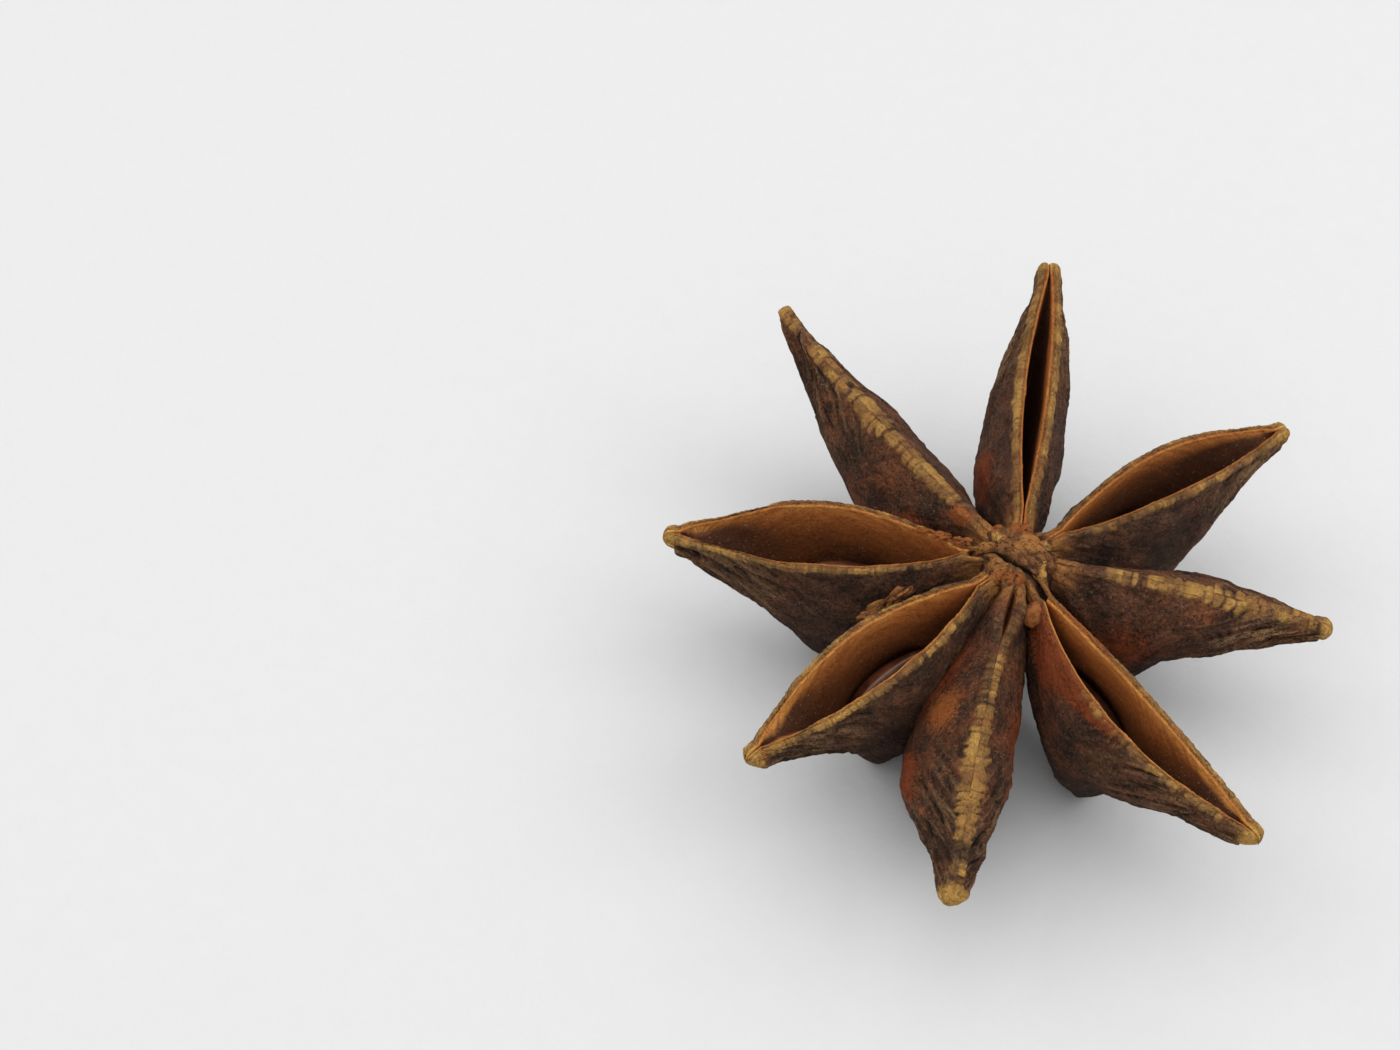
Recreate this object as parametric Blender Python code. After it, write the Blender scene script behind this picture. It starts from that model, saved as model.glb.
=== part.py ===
"""Star anise pod: eight boat-shaped follicles round a short column, and the loose seeds in four of them.

Lengths are in millimetres, and MM turns them into metres where a mesh is made. The origin is under the
middle of the pod's box, at the level on which the keels rest. +Z is up, and the sutures face up. The
shapes are worked out round the column's axis, and an empty on that axis carries them all. Azimuths are
in degrees from +X, anticlockwise seen from above. A share runs along a follicle, from 0 at its inner
end to 1 at the tip of its beak. A turn runs round a cross-section, from 0 at its top through 1 at its
bottom to 2 at its top again.
"""
import math
from dataclasses import dataclass

import bmesh
import bpy
from mathutils import Vector

MM = 0.001
AXIS_NAME = "column_axis"

# Where the column's axis stands, seen from the middle of the pod's box
COLUMN_X = 0.888
COLUMN_Y = 0.396

# Column, with the stump of the broken stalk under it
COLUMN_TOP_Z = 8.5
COLUMN_FOOT_Z = 2.3
COLUMN_RADIUS = 1.9
COLUMN_SQUARENESS = 0.35
COLUMN_RIDGE = 0.2
STUMP_TOP_Z = 3.6
STUMP_FOOT_Z = 1.5
STUMP_TOP_RADIUS = 1.1
STUMP_FOOT_RADIUS = 0.65
STUMP_LEAN = 8.0

# Follicles: where they start, and the heights of crest and keel next to the column and at the beak
INNER_START = 0.5
BASE_CREST_DROP = 0.6
BASE_KEEL_Z = 3.4
CREST_AT = 0.5
INNER_CREST_AT = 0.2
INNER_CREST_RISE = 0.4
BEAK_AT = 0.96
BEAK_HALF_HEIGHT = 0.4

# Follicles: the cross-section, and the width along the follicle as (share, part of the full width)
WIDEST_HEIGHT = 0.6
KEEL_BLUNTNESS = 0.62
KEEL_FALL = 1.9
KEEL_FLAT = 0.2
RIDGE_FULLNESS = 1.7
RIDGE_HALF_WIDTH = 0.3
LIP_FLARE = 1.05
BEAK_START = 0.5
BEAK_FULL = 0.85
WIDTH_ALONG = ((0.0, 0.20), (0.16, 0.50), (0.30, 0.84), (0.44, 1.0), (0.58, 0.93), (0.72, 0.64),
               (0.85, 0.37), (0.94, 0.25), (1.0, 0.22))

# Hollows of the open follicles
LIP_THICKNESS = 0.36
WALL_THICKNESS = 0.6
WALL_DEPTH = 2.5
FLOOR_THICKNESS = 1.3
FLOOR_ROUNDING = 1.3
FLOOR_SQUARENESS = 0.4
MOUTH_START = 0.13
MOUTH_END = 0.95
MOUTH_FULLNESS = 0.8
THINNEST = 0.02
CUT_CLEARANCE = 0.8

# Seeds, which lie loose in the hollows
SEED_LIFT = 1.1
SEED_TAPER = 0.22
SEED_FULLNESS = 0.9

# The level that the pod rests on: what reaches below it is cut off flat
GROUND_Z = 0.0
GROUND_BLOCK = 60.0

# How finely the shapes are divided, as (sides round them, rings along them)
COLUMN_FINENESS = (36, 9)
FOLLICLE_FINENESS = (18, 18)
HOLLOW_FINENESS = (14, 13)
SEED_FINENESS = (14, 10)
STUMP_SIDES = 12
END_CROWDING = 0.6

POD_BROWN = (0.115, 0.048, 0.024)
POD_ROUGHNESS = 0.75
SEED_BROWN = (0.120, 0.028, 0.012)
SEED_ROUGHNESS = 0.25


@dataclass
class Follicle:
    """One follicle. What isn't a height, a length, an angle or a width is a share or a factor."""

    name: str
    azimuth: float
    reach: float  # from the column's axis to the tip
    tip_z: float
    crest_z: float
    keel_z: float  # at the lowest place, which deep_at gives
    deep_at: float
    rise: float  # under 1 the keel climbs steeply first, and then runs level to the tip
    width: float
    gape: float = 0.0  # the mouth's full width, 0 where the suture is shut
    lean: float = 0.0  # how far the crest leans to the left, looking outward
    bow: float = 0.0  # how far the middle stands to the left of a straight line
    beak: float = 1.0  # the beak's width, against WIDTH_ALONG


FOLLICLES = (
    Follicle("right", -3.5, 13.8, 7.0, 8.1, 0.4, 0.35, 0.5, 4.2),
    Follicle("back_right", 41.4, 15.0, 7.0, 8.5, -0.2, 0.46, 0.75, 4.0, gape=2.1),
    Follicle("back", 92.0, 16.5, 8.7, 8.8, 0.1, 0.44, 1.0, 3.9, gape=0.95, lean=-6.0, bow=0.4, beak=1.25),
    Follicle("back_left", 137.0, 17.0, 8.7, 8.5, -0.2, 0.44, 1.0, 4.4, lean=6.0, beak=0.8),
    Follicle("left", 184.6, 15.6, 7.3, 8.6, -0.25, 0.50, 0.85, 4.4, gape=3.1, bow=0.2),
    Follicle("front_left", 231.0, 15.6, 7.6, 8.6, -0.2, 0.50, 0.65, 4.3, gape=2.5),
    Follicle("front", 267.4, 17.3, 7.8, 8.5, 0.1, 0.46, 1.0, 4.5, lean=13.0, bow=-1.0, beak=1.15),
    Follicle("front_right", 312.5, 16.6, 7.8, 8.5, -0.15, 0.44, 0.65, 4.3, gape=1.7, bow=-1.0),
)


@dataclass
class Seed:
    """One flattened egg-shaped seed, standing on edge in its follicle."""

    follicle: str
    centre_at: float
    length: float
    height: float
    thickness: float
    pitch: float


SEEDS = (
    Seed("back_right", 0.42, 4.7, 3.5, 1.6, -8.0),
    Seed("left", 0.44, 5.2, 3.9, 1.8, -9.0),
    Seed("front_left", 0.44, 4.9, 3.7, 1.7, -9.0),
    Seed("front_right", 0.40, 4.8, 3.7, 1.6, -9.0),
)


def clamp(value):
    """Keep a value between 0 and 1."""
    return max(0.0, min(1.0, value))


def along(points, place):
    """Read a smooth curve through (place, value) points: cubic, with no overshoot between them."""
    places = [point[0] for point in points]
    values = [point[1] for point in points]
    steps = [(values[i + 1] - values[i]) / (places[i + 1] - places[i]) for i in range(len(points) - 1)]
    slopes = [steps[0]]
    for before, after in zip(steps, steps[1:]):
        slopes.append(2 * before * after / (before + after) if before * after > 0 else 0.0)
    slopes.append(steps[-1])
    place = min(max(place, places[0]), places[-1])
    i = 0
    while i < len(steps) - 1 and place > places[i + 1]:
        i += 1
    gap = places[i + 1] - places[i]
    t = (place - places[i]) / gap
    return ((1 + 2 * t) * (1 - t) ** 2 * values[i] + t * (1 - t) ** 2 * gap * slopes[i]
            + t * t * (3 - 2 * t) * values[i + 1] + t * t * (t - 1) * gap * slopes[i + 1])


def beak_half_height(share):
    """Half of the beak's height, which is round at its end."""
    return BEAK_HALF_HEIGHT * math.sqrt(1 - clamp((share - BEAK_AT) / (1 - BEAK_AT)) ** 2)


def crest_height(arm, share):
    """Height of the suture: from the column over the crest to the tip."""
    if share > BEAK_AT:
        return arm.tip_z + beak_half_height(share)
    base_z = COLUMN_TOP_Z - BASE_CREST_DROP
    inner_z = base_z + INNER_CREST_RISE * (arm.crest_z - base_z)
    beak_z = arm.tip_z + BEAK_HALF_HEIGHT
    points = ((0.0, base_z), (INNER_CREST_AT, inner_z), (CREST_AT, arm.crest_z), (BEAK_AT, beak_z))
    return along(points, share)


def keel_height(arm, share):
    """Height of the keel: down from the column to its lowest place, then up to the tip."""
    if share < arm.deep_at:
        fall = math.sin(0.5 * math.pi * share / arm.deep_at) ** KEEL_FALL
        return BASE_KEEL_Z + (arm.keel_z - BASE_KEEL_Z) * fall
    if share > BEAK_AT:
        return arm.tip_z - beak_half_height(share)
    beak_z = arm.tip_z - BEAK_HALF_HEIGHT
    climb = (share - arm.deep_at) / (1 - arm.deep_at)
    return arm.keel_z + (beak_z - arm.keel_z) * climb ** arm.rise * clamp(climb / KEEL_FLAT)


def mouth_part(share):
    """How far along the mouth a share is: 0 at its inner end, 1 at its outer end."""
    return clamp((share - MOUTH_START) / (MOUTH_END - MOUTH_START))


def half_width(arm, share, height):
    """Half of the follicle's outer width, at a height from 0 at the keel to 1 at the crest."""
    beak = 1 + (arm.beak - 1) * clamp((share - BEAK_START) / (BEAK_FULL - BEAK_START))
    widest = 0.5 * arm.width * along(WIDTH_ALONG, share) * beak * beak_half_height(share) / BEAK_HALF_HEIGHT
    top = min(RIDGE_HALF_WIDTH, widest)
    if arm.gape:
        half_gape = 0.5 * arm.gape * abs(math.sin(math.pi * mouth_part(share))) ** MOUTH_FULLNESS
        top = min(half_gape + LIP_THICKNESS, LIP_FLARE * widest)
    if height < WIDEST_HEIGHT:
        return widest * math.sin(0.5 * math.pi * height / WIDEST_HEIGHT) ** KEEL_BLUNTNESS
    climb = (height - WIDEST_HEIGHT) / (1 - WIDEST_HEIGHT)
    return top + (widest - top) * (1 - climb ** RIDGE_FULLNESS)


def place_on_arm(arm, share, across, z):
    """Turn a place on a follicle into a point of the pod: the lean, the bow and the azimuth."""
    middle_z = 0.5 * (arm.crest_z + arm.keel_z)
    across += math.tan(math.radians(arm.lean)) * (z - middle_z) * math.sin(math.pi * share) ** 0.5
    across += arm.bow * math.sin(math.pi * share)
    outward = INNER_START + share * (arm.reach - INNER_START)
    azimuth = math.radians(arm.azimuth)
    return Vector((outward * math.cos(azimuth) - across * math.sin(azimuth),
                   outward * math.sin(azimuth) + across * math.cos(azimuth), z))


def side_and_descent(turn):
    """Split a turn into the side, 1 or -1, and the way down from the top, 0 to 1."""
    return (1, turn) if turn <= 1 else (-1, 2 - turn)


def outer_point(arm, share, turn):
    """A point of the follicle's outside, with a flat between the two edges of its crest."""
    side, descent = side_and_descent(turn)
    edge = 2 / FOLLICLE_FINENESS[0]
    keel = keel_height(arm, share)
    crest = crest_height(arm, share)
    if descent < 0.5 * edge:
        return place_on_arm(arm, share, 0.0, crest)
    height = 0.5 + 0.5 * math.cos(math.pi * (descent - edge) / (1 - edge))
    return place_on_arm(arm, share, side * half_width(arm, share, height), keel + height * (crest - keel))


def hollow_floor(arm, share):
    """Height of the hollow's floor, which rises to the crest at both ends of the mouth."""
    crest = crest_height(arm, share)
    depth = crest - keel_height(arm, share) - FLOOR_THICKNESS
    return crest - depth * abs(math.sin(math.pi * mouth_part(share))) ** FLOOR_SQUARENESS


def hollow_half_width(arm, share, z):
    """Half of the hollow's width at a height: the outside less the wall, and round at the floor."""
    keel = keel_height(arm, share)
    crest = crest_height(arm, share)
    wall = LIP_THICKNESS + clamp((crest - z) / WALL_DEPTH) * (WALL_THICKNESS - LIP_THICKNESS)
    inside = max(THINNEST, half_width(arm, share, clamp((z - keel) / (crest - keel))) - wall)
    up = clamp((z - hollow_floor(arm, share)) / FLOOR_ROUNDING)
    return inside * math.sqrt(1 - (1 - up) ** 2)


def hollow_point(arm, part, turn):
    """A point of the hollow, which runs on above the crest so that the mouth is cut open."""
    share = MOUTH_START + part * (MOUTH_END - MOUTH_START)
    side, descent = side_and_descent(turn)
    floor = hollow_floor(arm, share)
    top = crest_height(arm, share) + CUT_CLEARANCE
    z = floor + (0.5 + 0.5 * math.cos(math.pi * descent)) * (top - floor)
    across = 0.0 if descent in (0.0, 1.0) else side * hollow_half_width(arm, share, z)
    return place_on_arm(arm, share, across, z)


def column_point(share, turn):
    """A point of the column: a barrel with a low ridge towards each follicle."""
    z = COLUMN_FOOT_Z + share * (COLUMN_TOP_Z - COLUMN_FOOT_Z)
    radius = COLUMN_RADIUS * math.sin(math.pi * share) ** COLUMN_SQUARENESS
    radius += COLUMN_RIDGE * math.cos(len(FOLLICLES) * math.pi * turn) * math.sin(math.pi * share)
    return Vector((radius * math.cos(math.pi * turn), radius * math.sin(math.pi * turn), z))


def seed_point(seed, share, turn):
    """A point of a seed: an egg with flat sides, pointed at the end next to the column."""
    arm = next(arm for arm in FOLLICLES if arm.name == seed.follicle)
    place = -math.cos(math.pi * share)
    girth = math.sin(math.pi * share) ** SEED_FULLNESS * (1 + SEED_TAPER * place)
    outward = 0.5 * seed.length * place
    up = 0.5 * seed.height * girth * math.cos(math.pi * turn)
    across = 0.5 * seed.thickness * girth * math.sin(math.pi * turn)
    pitch = math.radians(seed.pitch)
    shift = outward * math.cos(pitch) - up * math.sin(pitch)
    middle_z = hollow_floor(arm, seed.centre_at) + SEED_LIFT + 0.5 * seed.height
    return place_on_arm(arm, seed.centre_at + shift / (arm.reach - INNER_START), across,
                        middle_z + outward * math.sin(pitch) + up * math.cos(pitch))


def sphere_mesh(name, fineness, shape):
    """A sphere whose points go to shape(share, turn); its rings stand closer together towards its poles."""
    sides, rings = fineness
    mesh = bpy.data.meshes.new(name)
    sphere = bmesh.new()
    bmesh.ops.create_uvsphere(sphere, u_segments=sides, v_segments=rings, radius=1.0)
    for vert in sphere.verts:
        even = math.acos(max(-1.0, min(1.0, -vert.co.z))) / math.pi
        share = even + END_CROWDING * (0.5 - 0.5 * math.cos(math.pi * even) - even)
        turn = math.atan2(vert.co.y, vert.co.x) / math.pi % 2
        vert.co = shape(share, turn) * MM
    bmesh.ops.triangulate(sphere, faces=sphere.faces)
    bmesh.ops.recalc_face_normals(sphere, faces=sphere.faces)
    sphere.to_mesh(mesh)
    sphere.free()
    return mesh


def new_object(name, mesh, material, collection):
    """Put a mesh in the scene under a name, carried by the empty on the column's axis."""
    thing = bpy.data.objects.new(name, mesh)
    mesh.materials.append(material)
    collection.objects.link(thing)
    thing.parent = bpy.data.objects[AXIS_NAME]
    return thing


def stump_object(material, collection):
    """The stump that the broken stalk left: a short cone, leaning a little."""
    mesh = bpy.data.meshes.new("stump")
    cone = bmesh.new()
    bmesh.ops.create_cone(cone, cap_ends=True, segments=STUMP_SIDES, radius1=STUMP_FOOT_RADIUS * MM,
                          radius2=STUMP_TOP_RADIUS * MM, depth=(STUMP_TOP_Z - STUMP_FOOT_Z) * MM)
    cone.to_mesh(mesh)
    cone.free()
    stump = new_object("stump", mesh, material, collection)
    stump.location = (0.0, 0.0, 0.5 * (STUMP_TOP_Z + STUMP_FOOT_Z) * MM)
    stump.rotation_euler = (math.radians(STUMP_LEAN), 0.0, 0.0)
    return stump


def ground_object(material, collection):
    """A block that fills the space below the ground, to cut off what reaches into it."""
    mesh = bpy.data.meshes.new("ground")
    block = bmesh.new()
    bmesh.ops.create_cube(block, size=GROUND_BLOCK * MM)
    bmesh.ops.translate(block, verts=block.verts, vec=Vector((0.0, 0.0, GROUND_Z - 0.5 * GROUND_BLOCK)) * MM)
    block.to_mesh(mesh)
    block.free()
    return new_object("ground", mesh, material, collection)


def make_material(name, colour, roughness):
    """A plain material."""
    material = bpy.data.materials.new(name)
    material.use_nodes = True
    shader = material.node_tree.nodes["Principled BSDF"]
    shader.inputs["Base Color"].default_value = (*colour, 1.0)
    shader.inputs["Roughness"].default_value = roughness
    shader.inputs["Metallic"].default_value = 0.0
    return material


def combine(thing, other, operation):
    """Join another shape to a thing, or cut it away, and keep the other as a hidden guide."""
    step = thing.modifiers.new(f"{operation.lower()}_{other.name}", "BOOLEAN")
    step.operation = operation
    step.object = other
    other.hide_render = True
    other.display_type = "WIRE"


def main():
    """Build the pod and its seeds."""
    for thing in list(bpy.data.objects):
        bpy.data.objects.remove(thing)
    parts = bpy.data.collections.new("star_anise_pod")
    guides = bpy.data.collections.new("guides")
    for collection in (parts, guides):
        bpy.context.scene.collection.children.link(collection)
    axis = bpy.data.objects.new(AXIS_NAME, None)
    axis.location = (COLUMN_X * MM, COLUMN_Y * MM, 0.0)
    guides.objects.link(axis)
    pod_brown = make_material("pod", POD_BROWN, POD_ROUGHNESS)
    seed_brown = make_material("seed", SEED_BROWN, SEED_ROUGHNESS)

    pod = new_object("pod", sphere_mesh("pod", COLUMN_FINENESS, column_point), pod_brown, parts)
    for arm in FOLLICLES:
        mesh = sphere_mesh(arm.name, FOLLICLE_FINENESS, lambda share, turn: outer_point(arm, share, turn))
        combine(pod, new_object(f"follicle_{arm.name}", mesh, pod_brown, guides), "UNION")
    combine(pod, stump_object(pod_brown, guides), "UNION")
    for arm in FOLLICLES:
        if arm.gape:
            mesh = sphere_mesh(arm.name, HOLLOW_FINENESS, lambda part, turn: hollow_point(arm, part, turn))
            combine(pod, new_object(f"hollow_{arm.name}", mesh, pod_brown, guides), "DIFFERENCE")
    combine(pod, ground_object(pod_brown, guides), "DIFFERENCE")

    for seed in SEEDS:
        mesh = sphere_mesh(seed.follicle, SEED_FINENESS, lambda share, turn: seed_point(seed, share, turn))
        new_object(f"seed_{seed.follicle}", mesh, seed_brown, parts)


main()
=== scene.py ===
"""Star anise pod: the looks of its follicles, its column and its seeds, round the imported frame.

Shapes are worked out in millimetres from the foot of the column's axis, and MM turns them into metres.
+Z is up and the sutures face up. Azimuths are in degrees from +X, anticlockwise seen from above. A share
runs along a follicle, from 0 at its inner end to 1 at the tip of its beak. A follicle's left is the left
of somebody who looks outward along it, and sides are 1 for left and -1 for right. A level is a height on
the outer wall, from 0 at the keel to 1 at the crest, and it is negative on the right wall.
"""
import math
from dataclasses import dataclass

import bpy
import numpy as np
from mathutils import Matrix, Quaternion, Vector


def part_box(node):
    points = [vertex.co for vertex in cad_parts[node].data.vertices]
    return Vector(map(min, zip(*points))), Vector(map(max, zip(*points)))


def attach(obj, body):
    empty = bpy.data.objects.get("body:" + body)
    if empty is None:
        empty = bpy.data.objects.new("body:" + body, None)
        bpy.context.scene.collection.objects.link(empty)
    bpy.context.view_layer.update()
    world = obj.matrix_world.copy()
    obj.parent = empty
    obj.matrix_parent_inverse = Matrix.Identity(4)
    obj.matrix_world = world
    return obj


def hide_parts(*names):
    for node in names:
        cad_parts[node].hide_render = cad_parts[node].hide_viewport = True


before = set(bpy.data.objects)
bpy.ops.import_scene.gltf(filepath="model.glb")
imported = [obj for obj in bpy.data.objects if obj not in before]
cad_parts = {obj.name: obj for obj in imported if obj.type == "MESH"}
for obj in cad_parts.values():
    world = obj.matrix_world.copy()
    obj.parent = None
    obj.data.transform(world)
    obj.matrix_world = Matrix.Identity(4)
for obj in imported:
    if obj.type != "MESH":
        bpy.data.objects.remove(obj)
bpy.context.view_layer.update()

MM = 0.001

# Where the column's axis stands, seen from the middle of the pod's box
COLUMN_AT = (0.888, 0.396)

# Camera, light and floor: distances in mm, the lights' power in watts, the floor's side in metres
CAMERA_DISTANCE = 109.6
CAMERA_ELEVATION = 54.0
CAMERA_AIM = (-13.89, -1.03, 8.3)
CAMERA_ROLL = -1.70
CAMERA_LENS = 64.29
CAMERA_SENSOR = 36.0
NEAREST_SEEN = 1.0

ROOM_BRIGHTNESS = 0.72
LIGHT_SIZE = 200.0
LIGHTS = (("right_light", (193.0, 20.0, 230.0), 0.28), ("left_light", (-193.0, 20.0, 230.0), 0.20),
          ("top_light", (0.0, 30.0, 300.0), 0.22))
FLOOR_SIZE = 3.0

# Column, and the crack across its top as (x, y) points
COLUMN_TOP_Z = 8.5
COLUMN_FOOT_Z = 2.3
COLUMN_RADIUS = 1.9
HUB_TOP_Z = 8.45
HUB_REACH = 0.6
HUB_ARM_WIDTH = 13.0
COLUMN_FOOT_SQUARENESS = 0.35
COLUMN_TOP_SQUARENESS = 0.20
LIP_RIDGE = 0.12
LIP_GROOVE = 0.12
CRACK = ((-2.0, -0.3), (-1.0, -0.15), (-0.4, -0.5), (0.2, -0.75), (1.0, -1.35), (1.4, -2.0))
CRACK_HALF_WIDTH = 0.12
CRACK_DEPTH = 0.45
CRACK_IN_LIPS = 0.25
HUB_ZONE_Z = (6.6, 7.6)
HUB_ZONE_RADIUS = (1.6, 3.2)
HUB_CRUMBS = 0.08
HUB_FIBRES = 2.6
STUMP_TOP_Z = 3.9
STUMP_FOOT_Z = 1.5
STUMP_TOP_RADIUS = 1.1
STUMP_FOOT_RADIUS = 0.65
STUMP_LEAN = 8.0
STUMP_SIDE = 0.75
STUMP_FIBRES = 0.14
STUMP_BREAK = 0.25
STUMP_RINGS = 90
STUMP_SIDES = 96
LUMP_RINGS = 40
LUMP_SIDES = 48

# Follicles: where they start, and the heights of crest and keel next to the column and at the beak
INNER_START = 0.5
BASE_CREST_DROP = 0.6
BASE_KEEL_Z = 3.4
CREST_AT = 0.5
INNER_CREST_AT = 0.2
INNER_CREST_RISE = 0.4
BEAK_AT = 0.96
BEAK_HALF_HEIGHT = 0.4

# Follicles: the cross-section, and the width along the follicle as (share, part of the full width)
WIDEST_HEIGHT = 0.6
KEEL_BLUNTNESS = 0.62
KEEL_FALL = 1.9
KEEL_FLAT = 0.2
RIDGE_FULLNESS = 1.7
RIDGE_HALF_WIDTH = 0.3
LIP_FLARE = 1.05
BEAK_START = 0.5
BEAK_FULL = 0.85
WIDTH_ALONG = ((0.0, 0.20), (0.16, 0.50), (0.30, 0.84), (0.44, 1.0), (0.58, 0.93), (0.72, 0.64),
               (0.85, 0.37), (0.94, 0.25), (1.0, 0.22))

# Hollows of the open follicles, and the groove that is left of the mouth where the suture is shut
LIP_THICKNESS = 0.36
LIP_CROWN = 0.12
WALL_THINNEST = 0.25
FLOOR_THICKNESS = 1.3
FLOOR_ROUNDING = 1.3
FLOOR_SQUARENESS = 0.6
CLEFT_TAPER = 0.75
CLEFT_FULLNESS = 1.2
CHAMBER_CLEARANCE = 0.2
MOUTH_START = 0.13
MOUTH_END = 0.95
MOUTH_FULLNESS = 0.8
GROOVE_HALF_WIDTH = 0.03
GROOVE_DEPTH = 0.3
RIM_MOUTH = 1.2
SHUT_DEPTH = 0.01
SPLIT_WIDENING = 7.0
SPLIT_SPREAD = 0.5

# Seeds, which lie loose in the hollows
SEED_LIFT = 1.1
SEED_TAPER = 0.22
SEED_FULLNESS = 0.9

# How finely the shapes are divided
FOLLICLE_RINGS = 290
WALL_STEPS = 52
CROWN_STEPS = 10
HOLLOW_STEPS = 26
GROOVE_STEPS = 6
TIP_CROWDING = 0.5
LAST_SHARE = 0.9992
COLUMN_RINGS = 110
COLUMN_SIDES = 220
SEED_RINGS = 70
SEED_SIDES = 72

# Relief: how far each feature stands out of the smooth surface, in mm
LUMP_RISE = 0.14
FURROW_DEPTH = 0.09
BEAK_FURROW_DEPTH = 0.20
GRAIN_RISE = 0.030
LIP_GRAIN_RISE = 0.015
RIB_RISE = 0.022
BAND_RISE = 0.030
SPLIT_RISE = 0.25
CROWN_WAVES = 0.07
HOLLOW_LUMPS = 0.04

# The tan band: how its blocks wander, slant and notch its edge, and the turn of one row past the other
BLOCK_WANDER = 1.3
BLOCK_SLANT = 0.4
BLOCK_SIZES = (0.2, 1.9)
BLOCK_NOTCH = 0.09
EDGE_ROUGHNESS = 0.18
ROW_SHIFT = 0.37

# The noise that every irregular shape is made from, and the girth that its wrinkles are stretched to
NOISE_SEED = 8
NOISE_CELLS = 32
NOISE_GAIN = 1.6
NOISE_STRIDE = np.array((5.3, 11.7, 7.9))
FOLLICLE_STRIDE = 20.0
FULL_GIRTH = 9.0


@dataclass
class Follicle:
    """One follicle. What isn't a height, a length, an angle or a width is a share or a factor."""

    name: str
    azimuth: float
    reach: float
    tip_z: float
    crest_z: float
    keel_z: float
    deep_at: float
    rise: float
    width: float
    gape: float = 0.0
    lean: float = 0.0
    bow: float = 0.0
    beak: float = 1.0


FOLLICLES = (
    Follicle("right", -3.5, 13.8, 7.0, 8.1, 0.4, 0.35, 0.5, 4.2),
    Follicle("back_right", 41.4, 15.0, 7.0, 8.5, -0.2, 0.46, 0.75, 4.0, gape=2.1),
    Follicle("back", 92.0, 16.5, 8.7, 8.8, 0.1, 0.44, 1.0, 3.9, gape=0.95, lean=-6.0, bow=0.4, beak=1.25),
    Follicle("back_left", 137.0, 17.0, 8.7, 8.5, -0.2, 0.44, 1.0, 4.4, lean=6.0, beak=0.8),
    Follicle("left", 184.6, 15.6, 7.3, 8.6, -0.25, 0.50, 0.85, 4.4, gape=3.1, bow=0.2),
    Follicle("front_left", 231.0, 15.6, 7.6, 8.6, -0.2, 0.50, 0.65, 4.3, gape=2.5),
    Follicle("front", 267.4, 17.3, 7.8, 8.5, 0.1, 0.46, 1.0, 4.5, lean=13.0, bow=-1.0, beak=1.15),
    Follicle("front_right", 312.5, 16.6, 7.8, 8.5, -0.15, 0.44, 0.65, 4.3, gape=1.7, bow=-1.0),
)


@dataclass
class Looks:
    """How one follicle's suture and walls look, beyond what all of them share."""

    band: tuple  # the tan band's width below the suture, as (share, mm)
    pitch: float  # from one block of the band to the next, in mm
    gaps: float  # how clearly the blocks stand apart, from 0 to 1
    redness: float  # how red the walls are, from 0 to 1
    one_sided: float = 0.0  # how much wider the band is on the left, from -1 to 1
    shade: float = 0.0  # how much painted shade darkens the inside, from 0 to 1
    rim: float = 0.0  # how bright the inner edge of the lips is, its own orange brightened by painted light, from 0 to 1
    spots: tuple = ()
    dents: tuple = ()
    split: tuple = ()  # where a shut suture gapes: its middle as a share, its half-length and depth in mm


@dataclass
class Spot:
    """A place of another colour, with ragged edges: its middle, half-length in mm and half-height."""

    kind: str
    share: float
    level: float
    length: float
    spread: float
    amount: float = 1.0


@dataclass
class Dent:
    """A soft dent, or a bulge where the depth is negative: its middle, half-length, half-height, mm."""

    share: float
    level: float
    length: float
    spread: float
    depth: float


OPEN_BAND = ((0.0, 0.03), (0.15, 0.04), (0.35, 0.08), (0.60, 0.13), (0.85, 0.24), (1.0, 0.25))

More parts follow.
